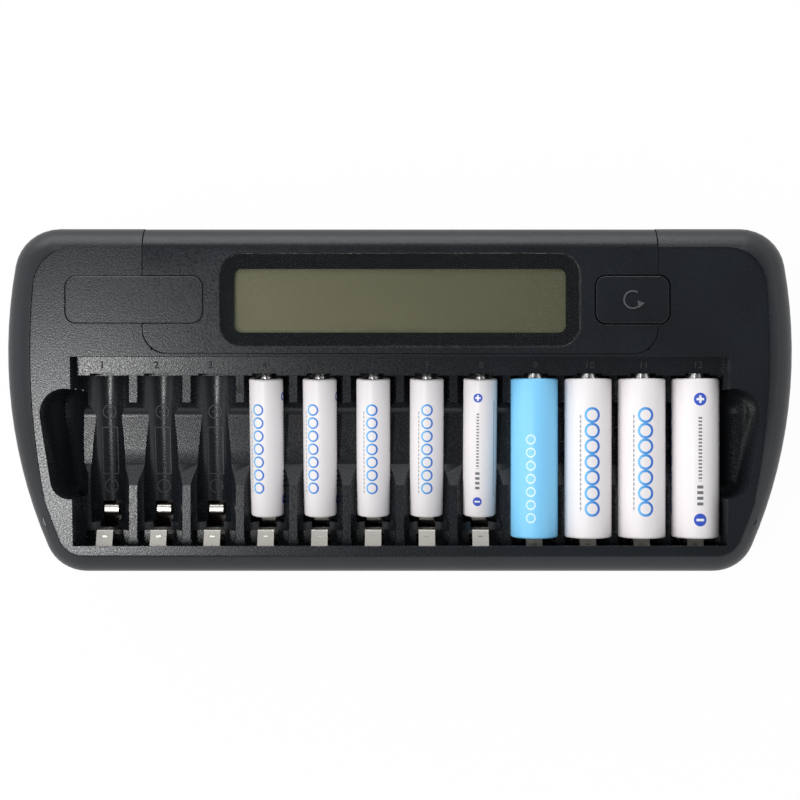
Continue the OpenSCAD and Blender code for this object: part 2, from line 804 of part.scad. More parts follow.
module bay_tray() {
    pocket_z = bowl_z - bowl_r - tray_floor;
    color(black)
        difference() {
            union() {
                translate([0, 0, tray_z])
                    linear_extrude(tray_top - tray_z)
                        tray_plan();
                for (side = [0, 1])
                    mirror([side, 0, 0])
                        translate([0, 0, pocket_z])
                            linear_extrude(tray_top - pocket_z)
                                pocket_plan(tray_wall);
            }
            along_x(well_half_front)
                bay_space();
            for (side = [0, 1])
                mirror([side, 0, 0])
                    pocket_space();
            for (i = [1:bays])
                translate([bay_x(i), 0, 0])
                    bay_cuts();
            // Hollow cores under the ribs
            for (i = [1:bays - 1])
                translate([rib_x(i) - core_w / 2, aa_front + core_inset, tray_z - over])
                    cube([core_w, ledge_front - aa_front - 2 * core_inset,
                          z_ax - channel_depth - tray_floor - tray_z + over]);
            for (p = tray_screws_at)
                translate([p[0], p[1], tray_z - over]) {
                    cylinder(r = tray_shank_r + shank_play, h = case_top);
                    translate([0, 0, rib_z - tray_sink - tray_z + over])
                        cylinder(r = tray_head_r + shank_play, h = case_top);
                }
        }
}

module tray_screws() {
    color(jet_black)
        for (p = tray_screws_at)
            translate([p[0], p[1], rib_z - tray_sink]) {
                difference() {
                    cylinder(r = tray_head_r, h = tray_head_h);
                    for (turn = [0, 90])
                        rotate([0, 0, turn])
                            translate([-recess_share * tray_head_r, -tray_recess[0] / 2, 0])
                                translate([0, 0, tray_head_h - tray_recess[1]])
                                    cube([2 * recess_share * tray_head_r, tray_recess[0], over]);
                }
                translate([0, 0, tray_z - tray_bite - rib_z + tray_sink])
                    cylinder(r = tray_shank_r, h = rib_z - tray_sink - tray_z + tray_bite + post_gap);
            }
}

module bottom_case() {
    color(black)
        difference() {
            union() {
                difference() {
                    moulded_block(base_levels(0, foot_h, split_z, base_r));
                    moulded_block(base_levels(wall, foot_h + floor_t, split_z + over, base_r - wall));
                }
                wall_ring(lip_inset, lip_inset + lip_t, split_z - over, split_z + lip_h);
                case_posts(case_post_r, foot_h + floor_t / 2, post_meet - post_gap);
                for (p = tray_screws_at)
                    translate([p[0], p[1], foot_h + floor_t / 2])
                        cylinder(r = tray_post_r, h = tray_z - foot_h - floor_t / 2);
                for (p = board_screws_at)
                    translate([p[0], p[1], foot_h + floor_t / 2])
                        cylinder(r = tray_post_r, h = board_z - foot_h - floor_t / 2);
            }
            translate([0, 0, -over])
                case_posts(case_screw_r + head_play, 0, post_meet + 2 * over);
            translate([0, 0, -over])
                case_posts(case_head_r + head_play, 0, case_head_z + over);
            for (p = tray_screws_at)
                translate([p[0], p[1], tray_z - tray_bite - over])
                    cylinder(r = tray_shank_r + screw_bite, h = tray_bite + 2 * over);
            for (p = board_screws_at)
                translate([p[0], p[1], foot_h + pilot_skin])
                    cylinder(r = small_screw_r + screw_bite, h = board_z);
            for (side = [-1, 1], p = feet_at)
                translate([side * p[0], p[1], foot_h - over])
                    cylinder(r = foot_r + play, h = foot_sink + over);
            vent_slots();
            inlet_hole();
        }
}

// Two fields of cooling slots in the base
module vent_slots() {
    slot_w = 2;
    slot_l = 22;
    slot_step = 5;
    slots = 9;
    slot_y = aa_front + 20;
    for (side = [-1, 1], i = [0:slots - 1])
        translate([side * 2 * bay_pitch + (i - (slots - 1) / 2) * slot_step - slot_w / 2, slot_y, 0])
            cube([slot_w, slot_l, foot_h + floor_t + over]);
}

module rubber_feet() {
    color("#2b2b2c")
        for (side = [-1, 1], p = feet_at)
            translate([side * p[0], p[1], 0])
                rotate_extrude()
                    union() {
                        square([foot_r - foot_round, foot_h + foot_sink]);
                        translate([0, foot_round])
                            square([foot_r, foot_h + foot_sink - foot_round]);
                        translate([foot_r - foot_round, foot_round])
                            circle(foot_round);
                    }
}

module case_screws() {
    color(jet_black)
        for (side = [-1, 1], p = [rear_post, front_post])
            translate([side * p[0], p[1], case_head_z - case_head_h]) {
                difference() {
                    cylinder(r = case_head_r, h = case_head_h);
                    for (turn = [0, 90])
                        rotate([0, 0, turn])
                            translate([-case_head_r * recess_share, -case_recess[0] / 2, -over])
                                cube([2 * case_head_r * recess_share, case_recess[0], over + case_recess[1]]);
                }
                translate([0, 0, case_head_h])
                    cylinder(r = case_screw_r, h = case_screw_l);
            }
}

module board_screws() {
    color(jet_black) {
        for (p = board_screws_at)
            translate([p[0], p[1], board_top]) {
                cylinder(r = small_head_r, h = small_head_h);
                translate([0, 0, -small_screw_l + over])
                    cylinder(r = small_screw_r, h = small_screw_l - over / 2);
            }
        for (x = [-boss_x, boss_x], y = [-boss_y, boss_y])
            translate([x, row_y + y, display_board_z - small_head_h]) {
                cylinder(r = small_head_r, h = small_head_h);
                translate([0, 0, small_head_h - over / 2])
                    cylinder(r = small_screw_r, h = small_screw_l);
            }
    }
}

module main_board() {
    color(laminate)
        difference() {
            translate([-board_w / 2, board_front, board_z])
                cube([board_w, board_rear - board_front, board_t]);
            for (p = tray_screws_at)
                translate([p[0], p[1], board_z - over])
                    cylinder(r = tray_post_r + 2 * play, h = board_t + 2 * over);
            for (p = board_screws_at)
                translate([p[0], p[1], board_z - over])
                    cylinder(r = small_screw_r + play, h = board_t + 2 * over);
        }
}

module controller_chip() {
    chip_w = 14;
    chip_t = 1.6;
    pins = 8;
    pin_step = 1.4;
    pin_reach = 1.2;
    pin_w = 0.4;
    pin_t = 0.3;
    chip_lift = 0.1;
    chip_y = row_y + 2;
    color(jet_black) {
        translate([-chip_w / 2, chip_y - chip_w / 2, board_top + chip_lift])
            cube([chip_w, chip_w, chip_t - chip_lift]);
        for (turn = [0, 90], i = [0:pins - 1])
            translate([0, chip_y, board_top])
                rotate([0, 0, turn])
                    translate([-chip_w / 2 - pin_reach, (i - (pins - 1) / 2) * pin_step - pin_w / 2, 0])
                        cube([chip_w + 2 * pin_reach, pin_w, pin_t]);
    }
}

module charge_transistors() {
    tab_w = 6.4;
    tab_d = 6;
    tab_t = 2.3;
    tab_y = well_rear + 4;
    leg_x = 2.2;
    leg_l = 2.4;
    leg_w = 0.8;
    leg_t = 0.6;
    leg_bury = 0.1;
    color(jet_black)
        for (i = [1:bays])
            translate([bay_x(i) - tab_w / 2, tab_y, board_top]) {
                cube([tab_w, tab_d, tab_t]);
                for (leg = [-1, 1])
                    translate([tab_w / 2 + leg * leg_x - leg_w / 2, -leg_l, 0])
                        cube([leg_w, leg_l + leg_bury, leg_t]);
            }
}

module power_inductors() {
    coil_r = 6;
    coil_h = 7;
    coil_y = row_y + 3;
    waist = 1;
    rim_t = 1.4;
    color("#33302c")
        for (x = [bay_x(10), bay_x(11) - 1])
            translate([x, coil_y, board_top])
                rotate_extrude()
                    difference() {
                        square([coil_r, coil_h]);
                        translate([coil_r - waist, rim_t])
                            square([coil_r, coil_h - 2 * rim_t]);
                    }
}

module filter_capacitors() {
    can_r = 4;
    can_h = 11;
    can_y = row_y + 4;
    bead_z = 1.6;
    bead_r = 0.4;
    color("#2a3550")
        for (i = [2:4])
            translate([bay_x(i), can_y, board_top])
                rotate_extrude()
                    difference() {
                        square([can_r, can_h]);
                        translate([can_r, bead_z])
                            circle(bead_r);
                    }
}

module ribbon_headers() {
    header_w = 24;
    header_d = 4.4;
    color("#e8e6df")
        for (z = [board_top, display_board_z - header_h])
            translate([bay_x(5) - header_w / 2, row_y - header_d / 2, z])
                cube([header_w, header_d, header_h]);
}

module ribbon_cable() {
    ribbon_half = 10.5;
    ribbon_t = 0.8;
    low = board_top + header_h;
    span = display_board_z - header_h - low;
    bow = 0.9;
    bow_r = span * bow;
    color("#a9a6a0")
        translate([bay_x(5), row_y, low])
            along_x(ribbon_half)
                intersection() {
                    translate([sqrt(pow(bow_r, 2) - pow(span / 2, 2)), span / 2])
                        difference() {
                            circle(bow_r + ribbon_t / 2);
                            circle(bow_r - ribbon_t / 2);
                        }
                    translate([-bow_r, 0])
                        square([bow_r + ribbon_t, span]);
                }
}

module dc_jack() {
    color(jet_black) {
        difference() {
            translate([jack_x - jack_w / 2, jack_y, board_top])
                cube([jack_w, jack_l, jack_h]);
            translate([jack_x, jack_y + jack_l + over, board_top + jack_rise])
                rotate([90, 0, 0])
                    cylinder(d = jack_bore, h = jack_l - jack_back + over);
        }
        translate([jack_x, jack_y + jack_l - pin_inset, board_top + jack_rise])
            rotate([90, 0, 0])
                cylinder(d = jack_pin, h = jack_l - jack_back);
    }
}

module positive_contacts() {
    color(nickel)
        for (i = [1:bays])
            translate([bay_x(i) - plus_w / 2, plus_y, board_top + leaf_rise])
                cube([plus_w, strip_t, z_ax + plus_rise - board_top - leaf_rise]);
}

// A leaf turned forward about its root by an angle in degrees
module turned(root, angle) {
    translate([0, root[0], root[1]])
        rotate([angle, 0, 0])
            translate([0, -root[0], -root[1]])
                children();
}

module aa_contact(i) {
    color(nickel)
        translate([bay_x(i), 0, 0])
            turned(aa_root, i < first_aa ? 0 : aa_push)
                difference() {
                    along_x(aa_leaf_w / 2)
                        strip(aa_leaf, aa_bend);
                    translate([-leaf_slit[0] / 2, aa_front, z_ax])
                        cube([leaf_slit[0], leaf_slit[1], aa_leaf_w]);
                }
}

module aaa_contact(i) {
    loaded = i >= first_aaa && i < first_aa;
    color(nickel)
        translate([bay_x(i), 0, 0])
            turned(aaa_root, loaded ? aaa_push : 0)
                along_x(aaa_leaf_w / 2)
                    strip(aaa_leaf, aaa_bend);
}

// A cell on its own axis, with its button towards +Z and its flat end at zero
module cell(d, body, nub_d, nub_h) {
    rotate_extrude()
        union() {
            square([d / 2 - can_round, body]);
            translate([0, can_round])
                square([d / 2, body - 2 * can_round]);
            for (y = [can_round, body - can_round])
                translate([d / 2 - can_round, y])
                    circle(can_round);
            square([nub_d / 2, body + nub_h]);
        }
}

module aa_cell(i) {
    color("#e9e6e4")
        translate([bay_x(i), aa_front, z_ax - cell_sink])
            rotate([-90, 0, 0])
                cell(aa_d, aa_body, aa_nub_d, aa_nub_h);
}

module aaa_cell(i) {
    color("#e9e6e4")
        translate([bay_x(i), aaa_tip_y, aaa_tip_z])
            rotate([aaa_tilt, 0, 0])
                translate([0, -aaa_len, -cell_sink])
                    rotate([-90, 0, 0])
                        cell(aaa_d, aaa_body, aaa_nub_d, aaa_nub_h);
}

bottom_case();
top_case();
console_cover();
bay_tray();
display_window();
lcd_panel();
lcd_holder();
lcd_connector_strips();
display_board();
refresh_button();
switch_body();
switch_plunger();
main_board();
controller_chip();
charge_transistors();
power_inductors();
filter_capacitors();
ribbon_cable();
ribbon_headers();
dc_jack();
name_plate();
tray_screws();
case_screws();
board_screws();
rubber_feet();
positive_contacts();
for (i = [1:bays]) {
    aa_contact(i);
    aaa_contact(i);
}
for (i = [first_aaa:first_aa - 1])
    aaa_cell(i);
for (i = [first_aa:bays])
    aa_cell(i);
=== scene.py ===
# %% [markdown]
# # A twelve-bay charger for AA and AAA cells
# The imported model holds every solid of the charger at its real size. This lesson dresses it: it softens the
# moulded edges, gives each material its texture, adds the cells' printed wraps and the small raised marks,
# and lights the whole as for a plain product picture taken from straight above.

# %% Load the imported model
import json
import math

import bpy
from mathutils import Matrix, Vector


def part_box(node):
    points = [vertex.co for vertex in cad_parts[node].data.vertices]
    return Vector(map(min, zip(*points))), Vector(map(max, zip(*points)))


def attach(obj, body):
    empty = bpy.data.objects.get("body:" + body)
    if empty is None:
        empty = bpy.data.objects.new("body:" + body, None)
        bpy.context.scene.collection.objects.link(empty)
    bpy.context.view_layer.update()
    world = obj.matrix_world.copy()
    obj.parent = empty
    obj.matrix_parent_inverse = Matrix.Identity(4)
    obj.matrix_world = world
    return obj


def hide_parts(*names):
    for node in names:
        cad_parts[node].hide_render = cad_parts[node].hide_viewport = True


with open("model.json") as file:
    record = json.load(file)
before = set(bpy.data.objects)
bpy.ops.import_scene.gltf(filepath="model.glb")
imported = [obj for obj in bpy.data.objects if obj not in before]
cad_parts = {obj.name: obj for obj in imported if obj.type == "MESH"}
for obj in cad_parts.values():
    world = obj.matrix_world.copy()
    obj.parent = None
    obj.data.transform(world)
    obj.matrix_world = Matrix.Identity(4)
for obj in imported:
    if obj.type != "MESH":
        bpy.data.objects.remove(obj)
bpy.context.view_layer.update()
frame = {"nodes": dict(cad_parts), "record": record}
solids = frame["nodes"]
MM = 0.001
BAYS = range(1, 13)
AAA_BAYS = range(4, 9)
AA_BAYS = range(9, 13)
bpy.ops.object.select_all(action="DESELECT")
print("solids in the model:", len(solids))

# %% [markdown]
# ## Camera
# The picture was taken from straight above, so a camera that isn't turned at all looks down on the part,
# with the rear edge at the top. Its height and lens come from the cells: their known width fixes the scale
# on their axis, and the lean of the upright walls near the ends fixes the distance.

# %% Camera over the middle
FRAME_PX = 800
LENS_PX = 1366.7
CAMERA_HEIGHT = 448.7 * MM
bpy.ops.object.camera_add(location=(0, 0, CAMERA_HEIGHT), rotation=(0, 0, 0))
camera = bpy.context.active_object
camera.data.lens = camera.data.sensor_width * LENS_PX / FRAME_PX
camera.data.clip_start = 10 * MM
bpy.context.scene.camera = camera
print("lens in millimetres:", round(camera.data.lens, 2))

# %% [markdown]
# ## Floor, world and lamps
# A product picture on white has light from all round and a soft box. The box hangs high at the left, so
# that the satin top mirrors it on its left third only. A wide lamp behind lights the rear edge, and one at
# the left, kept out of reflections, lights the cells from their left sides. Overhead the room is dark, or
# the level faces would mirror it and turn grey. The floor looks white to the camera and in reflections, but
# it keeps a share of plain diffuse white, which holds the soft shadow under the part.

# %% Stage
FLOOR_SIZE = 6
FLOOR_GAP = 0.05 * MM
FLOOR_GLOW = 0.97
bpy.ops.mesh.primitive_plane_add(size=FLOOR_SIZE, location=(0, 0, -FLOOR_GAP))
floor = bpy.context.active_object
floor.name = "floor"


def add(tree, kind, inputs=None, **settings):
    """Adds a node, with its settings, and fills its inputs from values or from other nodes' sockets."""
    node = tree.nodes.new(kind)
    for key, value in settings.items():
        setattr(node, key, value)
    for key, value in (inputs or {}).items():
        if isinstance(value, bpy.types.NodeSocket):
            tree.links.new(value, node.inputs[key])
        else:
            node.inputs[key].default_value = value
    return node


def calc(tree, operation, a, b=0.0, c=0.0):
    """Arithmetic on node sockets and numbers."""
    return add(tree, "ShaderNodeMath", {0: a, 1: b, 2: c}, operation=operation).outputs[0]


def seen_directly(tree):
    """One for rays from the camera, a mirror or glass, and nought for light that is scattered."""
    path = add(tree, "ShaderNodeLightPath").outputs
    either = calc(tree, "MAXIMUM", path["Is Camera Ray"], path["Is Glossy Ray"])
    return calc(tree, "MAXIMUM", either, path["Is Transmission Ray"])


def white_floor():
    material = bpy.data.materials.new("white_floor")
    material.use_nodes = True
    tree = material.node_tree
    tree.nodes.clear()
    cloth = add(tree, "ShaderNodeBsdfDiffuse", {"Color": (0.9, 0.9, 0.9, 1)})
    glow = add(tree, "ShaderNodeEmission", {"Color": (1, 1, 1, 1), "Strength": 1.0})
    share = calc(tree, "MULTIPLY", seen_directly(tree), FLOOR_GLOW)
    mix = add(tree, "ShaderNodeMixShader", {0: share, 1: cloth.outputs[0], 2: glow.outputs[0]})
    add(tree, "ShaderNodeOutputMaterial", {"Surface": mix.outputs[0]})
    return material


floor.data.materials.append(white_floor())
print("floor of", FLOOR_SIZE, "metres")

# %% World and lamps
HORIZON, ZENITH = 1.0, 0.1
FADE_FROM, FADE_TO = 0.55, 0.9


def soft_world():
    world = bpy.data.worlds.new("soft_room")
    world.use_nodes = True
    tree = world.node_tree
    tree.nodes.clear()
    path = add(tree, "ShaderNodeLightPath").outputs
    way = add(tree, "ShaderNodeTexCoord").outputs["Generated"]
    height = add(tree, "ShaderNodeSeparateXYZ", {0: way}).outputs[2]
    level = add(tree, "ShaderNodeMapRange",
                {"Value": height, 1: FADE_FROM, 2: FADE_TO, 3: HORIZON, 4: ZENITH}).outputs[0]
    room = add(tree, "ShaderNodeBackground", {"Color": (0.96, 0.98, 1, 1), "Strength": level})
    backdrop = add(tree, "ShaderNodeBackground", {"Color": (1, 1, 1, 1), "Strength": 1.0})
    mix = add(tree, "ShaderNodeMixShader",
              {0: path["Is Camera Ray"], 1: room.outputs[0], 2: backdrop.outputs[0]})
    add(tree, "ShaderNodeOutputWorld", {"Surface": mix.outputs[0]})
    return world


def soft_lamp(name, place, lean, size, watts):
    """A soft box that faces down and leans by angles about X and Y."""
    turn = [math.radians(angle) for angle in (*lean, 0)]
    bpy.ops.object.light_add(type="AREA", location=place, rotation=turn)
    lamp = bpy.context.active_object
    lamp.name = name
    lamp.data.shape = "RECTANGLE"
    lamp.data.size, lamp.data.size_y = size
    lamp.data.energy = watts
    return lamp


bpy.context.scene.world = soft_world()
soft_lamp("left_lamp", place=(-0.354, -0.086, 1.0), lean=(0, 0), size=(0.128, 0.196), watts=2.4)
side_lamp = soft_lamp("side_lamp", place=(-0.9, -0.1, 0.7), lean=(0, -52), size=(0.5, 1.0), watts=5.2)
side_lamp.visible_glossy = False
soft_lamp("rear_lamp", place=(-0.3, 1.0, 0.42), lean=(-67, 0), size=(1.4, 0.4), watts=6.2)
bpy.context.scene.view_settings.view_transform = "Standard"

# %% [markdown]
# ## Softened edges
# No moulded edge is sharp: each has a small radius that catches the light. The solids come as loose
# triangles, so a Weld joins them, a planar Decimate turns them back into whole faces, a small node group
# smooths the shading except at sharp edges, a Bevel rounds those edges, and weighted normals keep the large
# flat faces flat. The solids' own meshes stay as they are, because all of this is modifiers.

# %% Modifiers for the solids
SMOOTH_ANGLE = math.radians(25)
FLAT_ANGLE = math.radians(0.3)
WELD_GAP = 0.002 * MM


def smoothing_group():
    """A node group that shades faces smooth and keeps edges over the angle sharp."""
    group = bpy.data.node_groups.new("smooth_by_angle", "GeometryNodeTree")
    for side in ("INPUT", "OUTPUT"):
        group.interface.new_socket("Geometry", in_out=side, socket_type="NodeSocketGeometry")
    start = add(group, "NodeGroupInput").outputs[0]
    faces = add(group, "GeometryNodeSetShadeSmooth", {"Geometry": start}, domain="FACE").outputs[0]
    bend = add(group, "GeometryNodeInputMeshEdgeAngle").outputs[0]
    sharp = add(group, "FunctionNodeCompare", {0: bend, 1: SMOOTH_ANGLE}, operation="GREATER_THAN").outputs[0]
    edges = add(group, "GeometryNodeSetShadeSmooth",
                {"Geometry": faces, "Selection": sharp, "Shade Smooth": False}, domain="EDGE").outputs[0]
    add(group, "NodeGroupOutput", {0: edges})
    return group


smoothing = smoothing_group()


def soften(node, width):
    solid = solids[node]
    weld = solid.modifiers.new("weld", "WELD")
    weld.merge_threshold = WELD_GAP
    flat = solid.modifiers.new("whole_faces", "DECIMATE")
    flat.decimate_type = "DISSOLVE"
    flat.angle_limit = FLAT_ANGLE
    shade = solid.modifiers.new("smooth", "NODES")
    shade.node_group = smoothing
    if width:
        bevel = solid.modifiers.new("round_edges", "BEVEL")
        bevel.width = width * MM
        bevel.segments = 2
        bevel.limit_method = "ANGLE"
        bevel.angle_limit = SMOOTH_ANGLE
    even = solid.modifiers.new("flat_faces_flat", "WEIGHTED_NORMAL")
    even.weight = 100
    even.keep_sharp = True


EDGE_WIDTHS = {"top_case": 0.25, "console_cover": 0.2, "bay_tray": 0.25, "bottom_case": 0.25,
               "name_plate": 0.45, "refresh_button": 0.35, "display_window": 0.2}
for node in solids:
    soften(node, EDGE_WIDTHS.get(node, 0))
print("softened:", len(solids))

# %% [markdown]
# ## Moulded plastic
# The case is black plastic from a spark-eroded mould. Its grain is about half a millimetre and shows only
# where a lamp is mirrored, so it is bump and roughness, with next to no change of colour. The round rim has
# no grain, and it is a little duller than the level faces.

# %% Plain finishes
FLAT_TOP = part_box("name_plate")[1][2] - 0.05 * MM
RIM_FROM, RIM_FULL = FLAT_TOP + 0.16 * MM, FLAT_TOP + 0.2 * MM
RIM_DULL = 0.16
LEVEL_FROM, LEVEL_FULL = 0.9, 0.97
TONE_SCALE = 60.0
GRAIN_DEPTH = 0.024


def shader_of(name):
    material = bpy.data.materials.new(name)
    material.use_nodes = True
    tree = material.node_tree
    return material, tree, tree.nodes["Principled BSDF"]


def ramp(tree, value, colours):
    node = add(tree, "ShaderNodeValToRGB", {0: value})
    while len(node.color_ramp.elements) < len(colours):
        node.color_ramp.elements.new(0.5)
    for element, (at, colour) in zip(node.color_ramp.elements, colours):
        element.position = at
        element.color = (*colour, 1)
    return node.outputs[0]


def scaled(colour, factor):
    return tuple(channel * factor for channel in colour)


def flat_share(tree, where):
    """One on level faces below the rim's crest, and nought on the round edges."""
    normal = add(tree, "ShaderNodeNewGeometry").outputs["True Normal"]
    facing = add(tree, "ShaderNodeSeparateXYZ", {0: normal}).outputs[2]
    height = add(tree, "ShaderNodeSeparateXYZ", {0: where}).outputs[2]
    level = add(tree, "ShaderNodeMapRange", {"Value": facing, 1: LEVEL_FROM, 2: LEVEL_FULL}).outputs[0]
    below = add(tree, "ShaderNodeMapRange", {"Value": height, 1: RIM_FULL, 2: RIM_FROM}).outputs[0]
    return calc(tree, "MULTIPLY", level, below)


def grained(name, colour, roughness, grain=0.5, depth=0.03, metallic=0.0, variation=0.15, spread=0.08,
            flats=False, shine=0.5):
    """A surface with a fine grain, in millimetres, and slow changes of tone."""
    material, tree, shader = shader_of(name)
    where = add(tree, "ShaderNodeTexCoord").outputs["Object"]
    slow = add(tree, "ShaderNodeTexNoise", {"Vector": where, "Scale": TONE_SCALE, "Detail": 3.0}).outputs[0]
    fine = add(tree, "ShaderNodeTexNoise",
               {"Vector": where, "Scale": 1 / (grain * MM), "Detail": 2.0}).outputs[0]
    tone = ramp(tree, slow, [(0.3, scaled(colour, 1 - variation)), (0.7, scaled(colour, 1 + variation))])
    tree.links.new(tone, shader.inputs["Base Color"])
    rough = add(tree, "ShaderNodeMapRange", {"Value": fine, 1: 0.3, 2: 0.7, 3: roughness - spread,
                                             4: roughness + spread}).outputs[0]
    strength = flat_share(tree, where) if flats else 1.0
    if flats:
        rim = calc(tree, "SUBTRACT", 1.0, strength)
        rough = calc(tree, "MULTIPLY_ADD", rim, RIM_DULL, rough)
    tree.links.new(rough, shader.inputs["Roughness"])
    bump = add(tree, "ShaderNodeBump",
               {"Height": fine, "Strength": strength, "Distance": depth * MM}).outputs[0]
    tree.links.new(bump, shader.inputs["Normal"])
    shader.inputs["Metallic"].default_value = metallic
    shader.inputs["Specular IOR Level"].default_value = shine
    return material


SATIN_BLACK = (0.0095, 0.0115, 0.0145)
FINISHES = {
    "case_plastic": grained("case_plastic", SATIN_BLACK, 0.26, 0.5, GRAIN_DEPTH, flats=True),
    "console_plastic": grained("console_plastic", SATIN_BLACK, 0.26, 0.5, GRAIN_DEPTH, flats=True),
    "tray_plastic": grained("tray_plastic", SATIN_BLACK, 0.27, 0.5, GRAIN_DEPTH),
    "button_plastic": grained("button_plastic", SATIN_BLACK, 0.26, 0.5, GRAIN_DEPTH),
    "holder_plastic": grained("holder_plastic", (0.7, 0.7, 0.67), 0.55),
    "connector_rubber": grained("connector_rubber", (0.75, 0.4, 0.46), 0.7),
    "board_laminate": grained("board_laminate", (0.07, 0.035, 0.017), 0.4, 1.2, 0.01),
    "chip_epoxy": grained("chip_epoxy", (0.011, 0.011, 0.012), 0.6, 0.2, 0.01),
    "coil_ferrite": grained("coil_ferrite", (0.045, 0.04, 0.036), 0.6, 0.3, 0.03),
    "capacitor_can": grained("capacitor_can", (0.05, 0.07, 0.16), 0.35, 1.0, 0.005),
    "ribbon_pvc": grained("ribbon_pvc", (0.42, 0.41, 0.39), 0.5, 1.0, 0.02),
    "header_nylon": grained("header_nylon", (0.78, 0.77, 0.73), 0.5, 0.6, 0.01),
    "plate_lacquer": grained("plate_lacquer", SATIN_BLACK, 0.27, 0.5, GRAIN_DEPTH),
    "screw_steel": grained("screw_steel", (0.045, 0.045, 0.047), 0.4, 0.2, 0.004, 1.0),
    "foot_rubber": grained("foot_rubber", (0.03, 0.03, 0.03), 0.75, 0.4, 0.03),
    "contact_nickel": grained("contact_nickel", (0.72, 0.69, 0.63), 0.34, 0.35, 0.003, 1.0, 0.06, 0.04),
    "cell_steel": grained("cell_steel", (0.7, 0.69, 0.67), 0.28, 0.3, 0.004, 1.0, 0.06, 0.05),
    # Partly painted shade: the washer's near-black stands partly for its own colour and partly for the shadow
    # round the button.
    "washer_card": grained("washer_card", (0.03, 0.03, 0.032), 0.7, 0.3, 0.01),
    # Painted highlight: the raised marks and numbers are the same black plastic, and these lighter greys
    # stand for the light that their raised edges catch.
    "raised_mark": grained("raised_mark", (0.085, 0.086, 0.09), 0.5, 0.4, 0.01, shine=0.05),
    "number_mark": grained("number_mark", (0.042, 0.043, 0.046), 0.5, 0.4, 0.01, shine=0.05),
    "window_ink": grained("window_ink", (0.004, 0.005, 0.006), 0.3, 0.4, 0.001, 0.0, 0.1, 0.02, shine=0.0),
}
print("plain finishes:", len(FINISHES))

# %% [markdown]
# ## Display
# The display is a reflective panel of an even grey-green, with the faint squares of its unlit segments. Its
# colour is painted lighter at the left and darker at the right, as painted light from the soft box at the
# left.
# The window over it is clear, so its shader bends light as glass does, but rays from the lamps pass straight
# through it, or the panel below would be black.

# %% Display and window finishes
# Painted light: the panel's colour at its left and right ends, lighter at the left under the soft box.
LCD_PAINTED_LIGHT_LEFT, LCD_PAINTED_SHADE_RIGHT = (0.1, 0.096, 0.059), (0.068, 0.067, 0.04)
SEGMENT_SCALE = 500.0
SEGMENT_SHADE = (0.965, 0.965, 0.965, 1)
ACRYLIC_IOR = 1.49


def display_face():
    material, tree, shader = shader_of("lcd_face")
    where = add(tree, "ShaderNodeTexCoord").outputs["Object"]
    axis = add(tree, "ShaderNodeSeparateXYZ", {0: where}).outputs
    half = (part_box("lcd_panel")[1][0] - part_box("lcd_panel")[0][0]) / 2
    across = add(tree, "ShaderNodeMapRange", {"Value": axis[0], 1: -half, 2: half}).outputs[0]
    # Painted light and shade: the colour runs from lighter at the left to darker at the right.
    tone = ramp(tree, across, [(0.05, LCD_PAINTED_LIGHT_LEFT), (0.95, LCD_PAINTED_SHADE_RIGHT)])
    squares = add(tree, "ShaderNodeTexChecker",
                  {"Vector": where, "Scale": SEGMENT_SCALE, "Color1": (1, 1, 1, 1),
                   "Color2": SEGMENT_SHADE}).outputs[0]
    mixed = add(tree, "ShaderNodeMix", {"Factor": 1.0}, data_type="RGBA", blend_type="MULTIPLY")
    tree.links.new(tone, mixed.inputs["A"])
    tree.links.new(squares, mixed.inputs["B"])
    tree.links.new(mixed.outputs["Result"], shader.inputs["Base Color"])
    shader.inputs["Roughness"].default_value = 0.45
    shader.inputs["Specular IOR Level"].default_value = 0.1
    return material


def clear_window():
    material, tree, shader = shader_of("display_lens")
    where = add(tree, "ShaderNodeTexCoord").outputs["Object"]
    haze = add(tree, "ShaderNodeTexNoise", {"Vector": where, "Scale": 90.0}).outputs[0]
    rough = add(tree, "ShaderNodeMapRange", {"Value": haze, 3: 0.03, 4: 0.07}).outputs[0]
    tree.links.new(rough, shader.inputs["Roughness"])
    shader.inputs["Base Color"].default_value = (0.97, 0.98, 0.96, 1)
    shader.inputs["Transmission Weight"].default_value = 1.0
    shader.inputs["IOR"].default_value = ACRYLIC_IOR
    open_way = add(tree, "ShaderNodeBsdfTransparent")
    lamp_ray = add(tree, "ShaderNodeLightPath").outputs["Is Shadow Ray"]
    mix = add(tree, "ShaderNodeMixShader", {0: lamp_ray, 1: shader.outputs[0], 2: open_way.outputs[0]})
    tree.links.new(mix.outputs[0], tree.nodes["Material Output"].inputs["Surface"])
    return material


FINISHES["lcd_face"] = display_face()
FINISHES["display_lens"] = clear_window()
slot_of = {part["node"]: part["material_slot"] for part in frame["record"]["subparts"]}
for node, solid in solids.items():
    finish = FINISHES.get(slot_of[node], FINISHES["holder_plastic"])
    if solid.material_slots:
        solid.material_slots[0].material = finish
    else:
        solid.data.materials.append(finish)
print("finishes in all:", len(FINISHES))

# %% [markdown]
# ## Helpers for modelling
# New pieces start as a primitive and are shaped in edit mode. Operators act on whatever is selected, so a
# short helper selects by place. Another applies a piece's place to its mesh, and the last one names the body
# that a piece moves with and the finish that it takes.

# %% Selecting and finishing
SELECT_MODES = {"VERT": (True, False, False), "EDGE": (False, True, False), "FACE": (False, False, True)}


